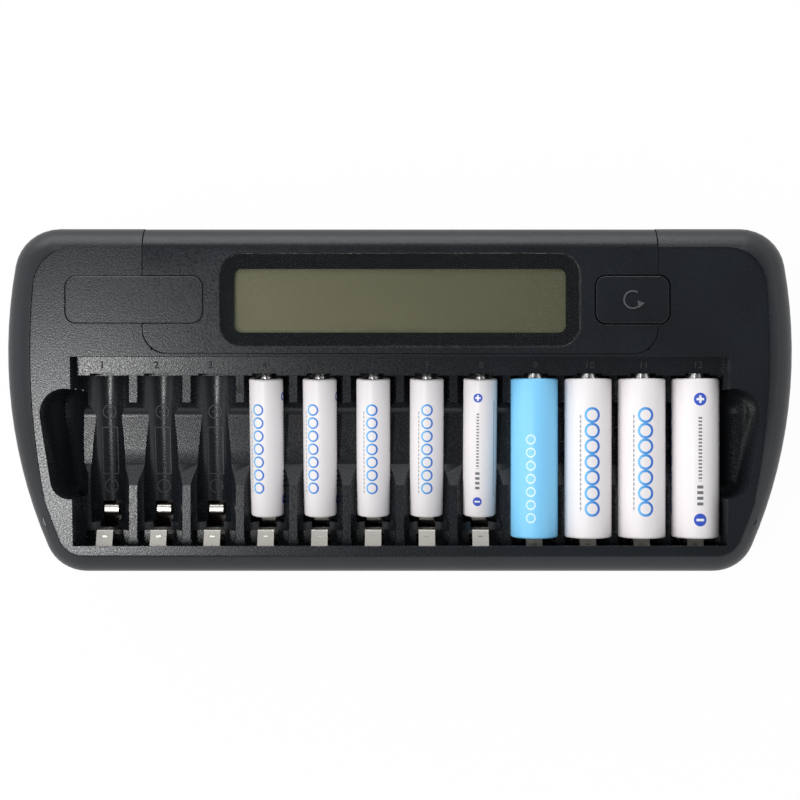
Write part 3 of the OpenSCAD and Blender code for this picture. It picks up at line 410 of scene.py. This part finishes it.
def pick(kind, test):
    """Selects what passes the test, in edit mode."""
    mesh = bpy.context.active_object.data
    bpy.ops.object.mode_set(mode="OBJECT")
    bpy.context.tool_settings.mesh_select_mode = SELECT_MODES[kind]
    for group in (mesh.vertices, mesh.edges, mesh.polygons):
        group.foreach_set("select", [False] * len(group))
    points = mesh.vertices
    if kind == "VERT":
        for vertex in points:
            vertex.select = test(vertex.co)
    elif kind == "EDGE":
        for edge in mesh.edges:
            edge.select = all(test(points[i].co) for i in edge.vertices)
    else:
        for face in mesh.polygons:
            face.select = test(face.center, face.normal)
    bpy.ops.object.mode_set(mode="EDIT")


def apply_modifier(piece, kind, **settings):
    modifier = piece.modifiers.new(kind.lower(), kind)
    for key, value in settings.items():
        setattr(modifier, key, value)
    bpy.context.view_layer.objects.active = piece
    bpy.ops.object.modifier_apply(modifier=modifier.name)


def named(name):
    piece = bpy.context.active_object
    piece.name = name
    piece.data.name = name
    return piece


def placed(piece, matrix):
    """Moves the piece and applies its place to its mesh."""
    piece.matrix_world = matrix @ piece.matrix_world
    bpy.ops.object.select_all(action="DESELECT")
    piece.select_set(True)
    bpy.context.view_layer.objects.active = piece
    bpy.ops.object.transform_apply(location=True, rotation=True, scale=True)


def copy_of(piece, name):
    bpy.ops.object.select_all(action="DESELECT")
    piece.select_set(True)
    bpy.context.view_layer.objects.active = piece
    bpy.ops.object.duplicate()
    return named(name)


def joined(pieces, name):
    bpy.ops.object.select_all(action="DESELECT")
    for piece in pieces:
        piece.select_set(True)
    bpy.context.view_layer.objects.active = pieces[0]
    bpy.ops.object.join()
    return named(name)


def finish_piece(piece, body, material):
    piece.data.materials.clear()
    piece.data.materials.append(material)
    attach(piece, body)


print("helpers ready")

# %% [markdown]
# ## Cells: the model
# A cell is a steel can in a printed shrink sleeve. The sleeve curls over both ends, and at the top the
# contact button stands in a card washer. The washer's near-black is partly its own colour and partly painted
# shade, for the shadow round the button. Each size is modelled once, upright at the origin, from open
# cylinders whose rims are extruded inwards, and it is then copied into its bays. The sleeve gets a UV map
# in millimetres: round the cell and along it, so that a print can be laid out as on paper.

# %% One cell of each size
SEGMENTS = 96
CELL_ANGLE = math.radians(40)
SLEEVE_T = 0.1 * MM
CAN_WALL = 0.25 * MM
CAN_ROUND = 0.9 * MM
CAN_BASE = 0.05 * MM
WASHER_INSET = 0.9 * MM
WASHER_LOW, WASHER_HIGH = 0.24 * MM, 0.12 * MM
WASHER_HOLE = 1.3


def extrude_rim(height, steps):
    """Extrudes the open rim at a height through steps of radius and height."""
    pick("EDGE", lambda co: abs(co.z - height) < 0.01 * MM)
    for (r0, z0), (r1, z1) in zip(steps, steps[1:]):
        bpy.ops.mesh.extrude_edges_move(TRANSFORM_OT_translate={"value": (0, 0, z1 - z0)})
        bpy.ops.transform.resize(value=(r1 / r0, r1 / r0, 1), center_override=(0, 0, 0))
    bpy.ops.object.mode_set(mode="OBJECT")


def tube(name, radius, low, high):
    bpy.ops.mesh.primitive_cylinder_add(vertices=SEGMENTS, radius=radius, depth=high - low, calc_uvs=False,
                                        end_fill_type="NOTHING", location=(0, 0, (low + high) / 2))
    piece = named(name)
    bpy.ops.object.transform_apply(location=True, rotation=True, scale=True)
    return piece


def outward(piece):
    """Merges doubles and turns all faces outwards."""
    bpy.context.view_layer.objects.active = piece
    bpy.ops.object.mode_set(mode="EDIT")
    bpy.ops.mesh.select_all(action="SELECT")
    bpy.ops.mesh.remove_doubles(threshold=0.001 * MM)
    bpy.ops.mesh.normals_make_consistent(inside=False)
    bpy.ops.object.mode_set(mode="OBJECT")


def unroll(piece, radius):
    """Gives a sleeve a UV map in millimetres: round from its upper side, and along from its base."""
    layer = piece.data.uv_layers.new(name="unrolled")
    turn = 2 * math.pi
    for face in piece.data.polygons:
        corners = [piece.data.vertices[i].co for i in face.vertices]
        angles = [math.atan2(co.x, -co.y) for co in corners]
        if max(angles) - min(angles) > math.pi:
            angles = [a + turn if a < 0 else a for a in angles]
        for loop, angle, co in zip(face.loop_indices, angles, corners):
            layer.data[loop].uv = (angle * radius / MM, co.z / MM)


def sleeve(name, radius, length):
    """The printed wrap. Each step of its curl is an inset and a rise in millimetres."""
    curl = [(0.0, 0.0), (0.06, 0.3), (0.25, 0.55), (0.7, 0.68), (1.5, 0.7)]
    round_h = curl[-1][1] * MM
    piece = tube(name, radius, round_h, length - round_h)
    extrude_rim(length - round_h, [(radius - d * MM, length - round_h + h * MM) for d, h in curl])
    extrude_rim(round_h, [(radius - d * MM, round_h - h * MM) for d, h in curl])
    outward(piece)
    unroll(piece, radius)
    apply_modifier(piece, "SOLIDIFY", thickness=SLEEVE_T, offset=-1)
    bpy.ops.object.shade_smooth_by_angle(angle=CELL_ANGLE)
    return piece


def can(name, radius, length, nub_radius, nub_height):
    """The steel can and its button. Each step of its ends is a radius and a height."""
    wall = CAN_WALL
    piece = tube(name, radius - wall, CAN_ROUND, length - CAN_ROUND)
    top = [(radius - wall, length - CAN_ROUND), (radius - 2.4 * wall, length - 0.3 * MM),
           (nub_radius * 1.25, length - 0.25 * MM), (nub_radius, length - 0.15 * MM),
           (nub_radius * 0.97, length + nub_height * 0.82), (nub_radius * 0.86, length + nub_height),
           (nub_radius * 0.05, length + nub_height)]
    extrude_rim(length - CAN_ROUND, top)
    base = [(radius - wall, CAN_ROUND), (radius - 2.4 * wall, 0.25 * MM), (radius - 6 * wall, 0.2 * MM),
            (radius - 7 * wall, CAN_BASE), (radius * 0.03, CAN_BASE)]
    extrude_rim(CAN_ROUND, base)
    for height in (length + nub_height, CAN_BASE):
        pick("EDGE", lambda co: abs(co.z - height) < 0.01 * MM and co.xy.length < 0.3 * MM)
        bpy.ops.mesh.edge_face_add()
    bpy.ops.object.mode_set(mode="OBJECT")
    outward(piece)
    bpy.ops.object.shade_smooth_by_angle(angle=CELL_ANGLE)
    return piece


def washer(name, radius, length, nub_radius):
    """The card ring round the button."""
    low, high = length - WASHER_LOW, length - WASHER_HIGH
    outer, inner = radius - WASHER_INSET, nub_radius * WASHER_HOLE
    piece = tube(name, outer, low, high)
    extrude_rim(high, [(outer, 0), (inner, 0)])
    extrude_rim(low, [(outer, 0), (inner, 0)])
    bpy.ops.object.mode_set(mode="EDIT")
    pick("EDGE", lambda co: abs(co.xy.length - inner) < 0.01 * MM)
    bpy.ops.mesh.bridge_edge_loops()
    bpy.ops.object.mode_set(mode="OBJECT")
    outward(piece)
    bpy.ops.object.shade_smooth_by_angle(angle=CELL_ANGLE)
    return piece


def cell_axis(node, tilt):
    """Base point, length and radius of a cell's solid that slopes by an angle along Y."""
    along = Vector((0, math.cos(tilt), math.sin(tilt)))
    up = Vector((0, -math.sin(tilt), math.cos(tilt)))
    points = [vertex.co for vertex in solids[node].data.vertices]
    runs = [co.dot(along) for co in points]
    rises = [co.dot(up) for co in points]
    middle = sum(axis[0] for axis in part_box(node)) / 2
    base = along * min(runs) + up * (min(rises) + max(rises)) / 2 + Vector((middle, 0, 0))
    return base, max(runs) - min(runs), (max(rises) - min(rises)) / 2


AAA_TILT = math.radians(7.5)
NUB = {"aa": (2.75 * MM, 1.8 * MM), "aaa": (1.9 * MM, 1.4 * MM)}
TILT = {"aa": 0.0, "aaa": AAA_TILT}
SIZE = {}
MASTERS = {}
for kind, node in (("aa", "aa_cell_09"), ("aaa", "aaa_cell_04")):
    nub_radius, nub_height = NUB[kind]
    _, whole, radius = cell_axis(node, TILT[kind])
    length = whole - nub_height
    SIZE[kind] = (radius, length)
    MASTERS[kind] = (sleeve(kind + "_wrap", radius, length),
                     can(kind + "_can", radius, length, nub_radius, nub_height),
                     washer(kind + "_washer", radius, length, nub_radius))
    print(kind, "radius and length in mm:", round(radius / MM, 2), round(length / MM, 2))

# %% [markdown]
# ## Cells: the print
# The wraps carry a plain print without words: a chain of thin blue rings, a line of fine grey dashes, and
# on the next side a plus and a minus in blue discs with a few grey bars between them. Each shape is a mask
# made of arithmetic on the UV map, and the masks mix the ink over the wrap's own colour.

# %% Wrap finishes
RING_COUNT = 7
MIX_UNDER, MIX_OVER, MIX_COLOUR = 6, 7, 2
SIDE_ANGLE, FAR_ANGLE = math.radians(106), math.radians(168)
DISC_R, SIGN_HALF, SIGN_LINE = 0.27, 0.16, 0.05
PLUS_AT, MINUS_AT = 0.87, 0.12
GREY_INK, DARK_INK = (0.3, 0.31, 0.33), (0.16, 0.16, 0.17)
DISC_INK, SIGN_INK = (0.035, 0.09, 0.52), (0.85, 0.85, 0.85)


def near(tree, value, middle, half):
    return calc(tree, "COMPARE", value, middle, half)


def both(tree, a, b):
    return calc(tree, "MULTIPLY", a, b)


def disc(tree, u, v, place, radius):
    du = calc(tree, "SUBTRACT", u, place[0])
    dv = calc(tree, "SUBTRACT", v, place[1])
    square = calc(tree, "ADD", both(tree, du, du), both(tree, dv, dv))
    return calc(tree, "LESS_THAN", square, radius * radius)


def dashes(tree, u, v, column, half_width, span, pitch, fill):
    share = calc(tree, "FRACT", calc(tree, "DIVIDE", v, pitch))
    mark = both(tree, calc(tree, "LESS_THAN", share, fill), near(tree, u, column, half_width))
    return both(tree, mark, near(tree, v, (span[0] + span[1]) / 2, (span[1] - span[0]) / 2))


def rings(tree, u, v, span, count, radius, half_line):
    """A chain of rings along the cell."""
    pitch = (span[1] - span[0]) / count
    share = calc(tree, "FRACT", calc(tree, "DIVIDE", calc(tree, "SUBTRACT", v, span[0]), pitch))
    dv = calc(tree, "MULTIPLY", calc(tree, "SUBTRACT", share, 0.5), pitch)
    reach = calc(tree, "SQRT", calc(tree, "ADD", both(tree, u, u), both(tree, dv, dv)))
    return both(tree, near(tree, reach, radius, half_line),
                near(tree, v, (span[0] + span[1]) / 2, (span[1] - span[0]) / 2))


def inked(tree, under, ink, mask):
    mix = add(tree, "ShaderNodeMix", {"Factor": mask}, data_type="RGBA")
    for socket, colour in ((MIX_UNDER, under), (MIX_OVER, ink)):
        if isinstance(colour, bpy.types.NodeSocket):
            tree.links.new(colour, mix.inputs[socket])
        else:
            mix.inputs[socket].default_value = (*colour, 1)
    return mix.outputs[MIX_COLOUR]


def wrap(name, kind, film, inks, span, ring, line, side_print=True):
    """A printed film. Widths are shares of the cell's radius, and places are shares of its length."""
    radius, length = SIZE[kind]
    r, l = radius / MM, length / MM
    material, tree, shader = shader_of(name)
    spots = add(tree, "ShaderNodeTexCoord").outputs
    axis = add(tree, "ShaderNodeSeparateXYZ", {0: spots["UV"]}).outputs
    u, v = axis[0], axis[1]
    slow = add(tree, "ShaderNodeTexNoise",
               {"Vector": spots["Object"], "Scale": 140.0, "Detail": 2.0}).outputs[0]
    colour = ramp(tree, slow, [(0.3, scaled(film, 0.985)), (0.7, film)])
    shade = add(tree, "ShaderNodeMapRange", {"Value": u, 1: -ring * r, 2: ring * r}).outputs[0]
    ink = ramp(tree, shade, inks)
    chain = rings(tree, u, v, (span[0] * l, span[1] * l), RING_COUNT, ring * r, line * r)
    colour = inked(tree, colour, ink, chain)
    if side_print:
        fine = dashes(tree, u, v, -0.5 * r, 0.03 * r, (0.17 * l, 0.78 * l), 0.03 * l, 0.72)
        colour = inked(tree, colour, GREY_INK, fine)
        side = SIDE_ANGLE * r
        for place, has_upright in ((PLUS_AT * l, True), (MINUS_AT * l, False)):
            colour = inked(tree, colour, DISC_INK, disc(tree, u, v, (side, place), DISC_R * r))
            upright = both(tree, near(tree, v, place, SIGN_HALF * r), near(tree, u, side, SIGN_LINE * r))
            level = both(tree, near(tree, u, side, SIGN_HALF * r), near(tree, v, place, SIGN_LINE * r))
            sign = calc(tree, "MAXIMUM", upright, level) if has_upright else level
            colour = inked(tree, colour, SIGN_INK, sign)
        spec = dashes(tree, u, v, side, 0.075 * r, (0.36 * l, 0.77 * l), 0.022 * l, 0.5)
        large = dashes(tree, u, v, side, 0.13 * r, (0.2 * l, 0.34 * l), 0.035 * l, 0.55)
        small = dashes(tree, u, v, FAR_ANGLE * r, 0.05 * r, (0.15 * l, 0.85 * l), 0.016 * l, 0.5)
        for mask in (spec, large, small):
            colour = inked(tree, colour, DARK_INK, mask)
    tree.links.new(colour, shader.inputs["Base Color"])
    rough = add(tree, "ShaderNodeMapRange", {"Value": slow, 3: 0.3, 4: 0.4}).outputs[0]
    tree.links.new(rough, shader.inputs["Roughness"])
    return material


WHITE_FILM = (0.83, 0.79, 0.795)
BLUE_FILM = (0.22, 0.61, 0.93)
BLUE_INK = [(0.0, (0.13, 0.47, 0.84)), (1.0, (0.015, 0.14, 0.58))]
PALE_INK = [(0.0, (0.6, 0.82, 0.95)), (1.0, (0.7, 0.87, 0.97))]
WRAPS = {
    "aa_white": wrap("white_wrap_aa", "aa", WHITE_FILM, BLUE_INK, (0.14, 0.82), 0.28, 0.052),
    "aaa_white": wrap("white_wrap_aaa", "aaa", WHITE_FILM, BLUE_INK, (0.17, 0.83), 0.3, 0.052),
    "aa_blue": wrap("blue_wrap_aa", "aa", BLUE_FILM, PALE_INK, (0.09, 0.66), 0.18, 0.03, side_print=False),
}
print("wraps:", list(WRAPS))

# %% Cells in their bays
TURNS = {4: 25, 5: 22, 6: 4, 7: 0, 8: 117, 9: 14, 10: -3, 11: 0, 12: 106}


def cell_in_bay(kind, bay):
    node = f"{kind}_cell_{bay:02d}"
    base, _, _ = cell_axis(node, TILT[kind])
    turn = Matrix.Rotation(math.radians(-TURNS[bay]), 4, "Z")
    lay = Matrix.Rotation(TILT[kind] - math.pi / 2, 4, "X")
    matrix = Matrix.Translation(base) @ lay @ turn
    film = "blue" if bay == 9 else "white"
    finishes = (WRAPS[f"{kind}_{film}"], FINISHES["cell_steel"], FINISHES["washer_card"])
    slots = (f"cell_wrap_{film}", "contact_nickel", "chip_epoxy")
    for master, finish, slot in zip(MASTERS[kind], finishes, slots):
        piece = copy_of(master, f"{master.data.name.split('.')[0]}_{bay:02d}")
        placed(piece, matrix)
        finish_piece(piece, "charger", finish)
        if master is MASTERS[kind][0]:
            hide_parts(node)


for bay in AAA_BAYS:
    cell_in_bay("aaa", bay)
for bay in AA_BAYS:
    cell_in_bay("aa", bay)
for masters in MASTERS.values():
    for master in masters:
        bpy.data.objects.remove(master)
print("cells:", len(AAA_BAYS) + len(AA_BAYS))

# %% [markdown]
# ## Window print
# The black frame of the window is ink on the underside of the clear plate. It is a thin ring: a plane with
# rounded corners, inset to the visible field, with the middle taken out.

# %% Ink frame under the window
VIEW_W, VIEW_D = 100 * MM, 19.2 * MM
VIEW_ROUND = 2.3 * MM
VIEW_SHIFT = 0.3 * MM
INK_T = 0.04 * MM
INK_INSET = 0.4 * MM
INK_ROUND = 6.4 * MM


def rounded_sheet(name, width, depth, radius, middle):
    bpy.ops.mesh.primitive_plane_add(size=1, location=(0, 0, 0))
    piece = named(name)
    piece.scale = (width, depth, 1)
    bpy.ops.object.transform_apply(location=True, rotation=True, scale=True)
    bpy.ops.object.mode_set(mode="EDIT")
    bpy.ops.mesh.select_all(action="SELECT")
    bpy.ops.mesh.bevel(offset=radius, segments=10, affect="VERTICES")
    bpy.ops.object.mode_set(mode="OBJECT")
    placed(piece, Matrix.Translation(middle))
    return piece


low, high = (Vector(corner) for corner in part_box("display_window"))
window_size = high - low
window_middle = Vector(((low.x + high.x) / 2, (low.y + high.y) / 2, low.z - INK_T))
ink = rounded_sheet("window_print", window_size.x - INK_INSET, window_size.y - INK_INSET, INK_ROUND,
                    window_middle)
hole = rounded_sheet("view_cutter", VIEW_W, VIEW_D, VIEW_ROUND,
                     window_middle - Vector((0, VIEW_SHIFT, 1 * MM)))
apply_modifier(ink, "SOLIDIFY", thickness=INK_T * 0.8, offset=1)
apply_modifier(hole, "SOLIDIFY", thickness=2 * MM, offset=1)
apply_modifier(ink, "BOOLEAN", operation="DIFFERENCE", object=hole, solver="EXACT")
bpy.data.objects.remove(hole)
finish_piece(ink, "charger", FINISHES["window_ink"])
print("ink frame faces:", len(ink.data.polygons))

# %% [markdown]
# ## Raised marks
# Numbers stand on the sloped ledge behind the bays, and polarity marks lie in each groove. They are only a
# fifth of a millimetre high, with matt tops. They are the same black plastic as the tray, but their colour is
# a
# lighter grey: painted highlight for the light that their raised edges catch, which makes them readable on
# the satin around them.

# %% Bay numbers
LEDGE_Y = 10.6 * MM
DIGIT_H = 2.1 * MM
CAP_SHARE = 0.7
STROKE = 0.05 * MM
RAISED = 0.2 * MM
AXIS_Z = cell_axis("aa_cell_09", 0.0)[0].z + 0.15 * MM
LEDGE_FALL = math.atan2(0.4, 5.6)
LEDGE_FRONT = 7.5 * MM
LEDGE_FRONT_Z = AXIS_Z + 3.4 * MM


def bay_middle(bay):
    low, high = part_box(f"aa_contact_{bay:02d}")
    return (low[0] + high[0]) / 2


def number_on_ledge(bay):
    bpy.ops.object.text_add(location=(0, 0, 0))
    piece = bpy.context.active_object
    piece.data.body = str(bay)
    piece.data.size = DIGIT_H / CAP_SHARE
    piece.data.align_x = "CENTER"
    piece.data.align_y = "CENTER"
    piece.data.extrude = RAISED
    piece.data.offset = STROKE
    piece.data.resolution_u = 4
    bpy.ops.object.convert(target="MESH")
    piece = named(f"number_{bay}")
    z = LEDGE_FRONT_Z + (LEDGE_Y - LEDGE_FRONT) * math.tan(LEDGE_FALL)
    placed(piece, Matrix.Translation((bay_middle(bay), LEDGE_Y, z)) @ Matrix.Rotation(LEDGE_FALL, 4, "X"))
    return piece


numbers = joined([number_on_ledge(bay) for bay in BAYS], "bay_numbers")
outward(numbers)
finish_piece(numbers, "charger", FINISHES["number_mark"])
print("numbers:", len(BAYS))

# %% Polarity marks in the grooves
GROOVE_R = 5.45 * MM
groove_base = cell_axis("aaa_cell_04", AAA_TILT)[0]
GROOVE_SINK = 0.15 * MM


def flat_ring(radius, width):
    bpy.ops.mesh.primitive_circle_add(vertices=40, radius=radius, fill_type="NOTHING")
    bpy.ops.object.mode_set(mode="EDIT")
    bpy.ops.mesh.select_all(action="SELECT")
    bpy.ops.mesh.extrude_edges_move(TRANSFORM_OT_translate={"value": (0, 0, 0)})
    inner = 1 - width / radius
    bpy.ops.transform.resize(value=(inner, inner, 1), center_override=(0, 0, 0))
    bpy.ops.object.mode_set(mode="OBJECT")
    return named("ring")


def flat_bar(x, y, width, depth):
    bpy.ops.mesh.primitive_plane_add(size=1, location=(x, y, 0))
    piece = named("bar")
    piece.scale = (width, depth, 1)
    bpy.ops.object.transform_apply(location=True, rotation=True, scale=True)
    bpy.ops.object.mode_set(mode="EDIT")
    bpy.ops.mesh.select_all(action="SELECT")
    bpy.ops.mesh.subdivide(number_cuts=7)
    bpy.ops.object.mode_set(mode="OBJECT")
    return piece


def shifted(piece, y):
    placed(piece, Matrix.Translation((0, y, 0)))
    return piece


LINE = 0.36 * MM
SIGN_R, SIGN_W = 2.25 * MM, 2.2 * MM
PLUS_Y, MINUS_Y = -3.6 * MM, -27 * MM
FIELD = (-8.5 * MM, -23.1 * MM)
FIELD_W = 4.9 * MM
mark_pieces = [shifted(flat_ring(SIGN_R, LINE), PLUS_Y), shifted(flat_ring(SIGN_R, LINE), MINUS_Y),
               flat_bar(0, PLUS_Y, SIGN_W, LINE), flat_bar(0, PLUS_Y, LINE, SIGN_W),
               flat_bar(0, MINUS_Y, LINE, SIGN_W),
               flat_bar(-FIELD_W / 2, sum(FIELD) / 2, LINE, FIELD[0] - FIELD[1]),
               flat_bar(FIELD_W / 2, sum(FIELD) / 2, LINE, FIELD[0] - FIELD[1]),
               flat_bar(0, FIELD[0], FIELD_W, LINE), flat_bar(0, FIELD[1], FIELD_W, LINE)]
bay_mark = joined(mark_pieces, "bay_mark")
for vertex in bay_mark.data.vertices:
    x, y = vertex.co.x, vertex.co.y
    axis_z = groove_base.z + (y - groove_base.y) * math.tan(AAA_TILT) + GROOVE_SINK
    vertex.co.z = axis_z - math.sqrt(GROOVE_R ** 2 - x ** 2) / math.cos(AAA_TILT)
apply_modifier(bay_mark, "SOLIDIFY", thickness=2 * RAISED, offset=0)
outward(bay_mark)
marks = []
for bay in BAYS:
    mark = copy_of(bay_mark, f"mark_{bay}")
    placed(mark, Matrix.Translation((bay_middle(bay), 0, 0)))
    marks.append(mark)
bpy.data.objects.remove(bay_mark)
polarity = joined(marks, "polarity_marks")
finish_piece(polarity, "charger", FINISHES["raised_mark"])
print("marks:", len(marks))

# %% [markdown]
# ## Button sign
# The button carries a raised circular arrow, the plain sign for starting again. It is an arc, made by
# spinning a short bar, and a triangle at its end.

# %% Circular arrow
ICON_R = 2.6 * MM
ICON_LINE = 0.5 * MM
ICON_SWEEP = math.radians(285)
ICON_TURN = math.radians(-20)
HEAD_R = 1.35 * MM
HEAD_BACK, HEAD_RISE = 0.4 * MM, 0.04 * MM
low, high = (Vector(corner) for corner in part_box("refresh_button"))
button_middle = Vector(((low.x + high.x) / 2, (low.y + high.y) / 2, high.z - 0.02 * MM))
bpy.ops.mesh.primitive_plane_add(size=1, location=(0, 0, 0))
arrow = named("button_sign")
arrow.scale = (ICON_LINE, 0.1 * MM, 1)
arrow.location = (ICON_R, 0, 0)
bpy.ops.object.transform_apply(location=True, rotation=True, scale=True)
pick("EDGE", lambda co: co.y > 0)
bpy.ops.mesh.spin(steps=28, angle=ICON_SWEEP, center=(0, 0, 0), axis=(0, 0, 1))
bpy.ops.object.mode_set(mode="OBJECT")
bpy.ops.mesh.primitive_circle_add(vertices=3, radius=HEAD_R, fill_type="NGON", location=(0, 0, 0))
head = named("arrow_head")
placed(head, Matrix.Translation((ICON_R, -HEAD_BACK, HEAD_RISE)) @ Matrix.Rotation(math.pi, 4, "Z"))
arrow = joined([arrow, head], "button_sign")
apply_modifier(arrow, "SOLIDIFY", thickness=2 * RAISED, offset=0)
outward(arrow)
placed(arrow, Matrix.Translation(button_middle) @ Matrix.Rotation(ICON_TURN, 4, "Z"))
# Painted highlight: the arrow's lighter grey stands for the light on its raised edges.
finish_piece(arrow, "button", FINISHES["raised_mark"])
print("arrow faces:", len(arrow.data.polygons))
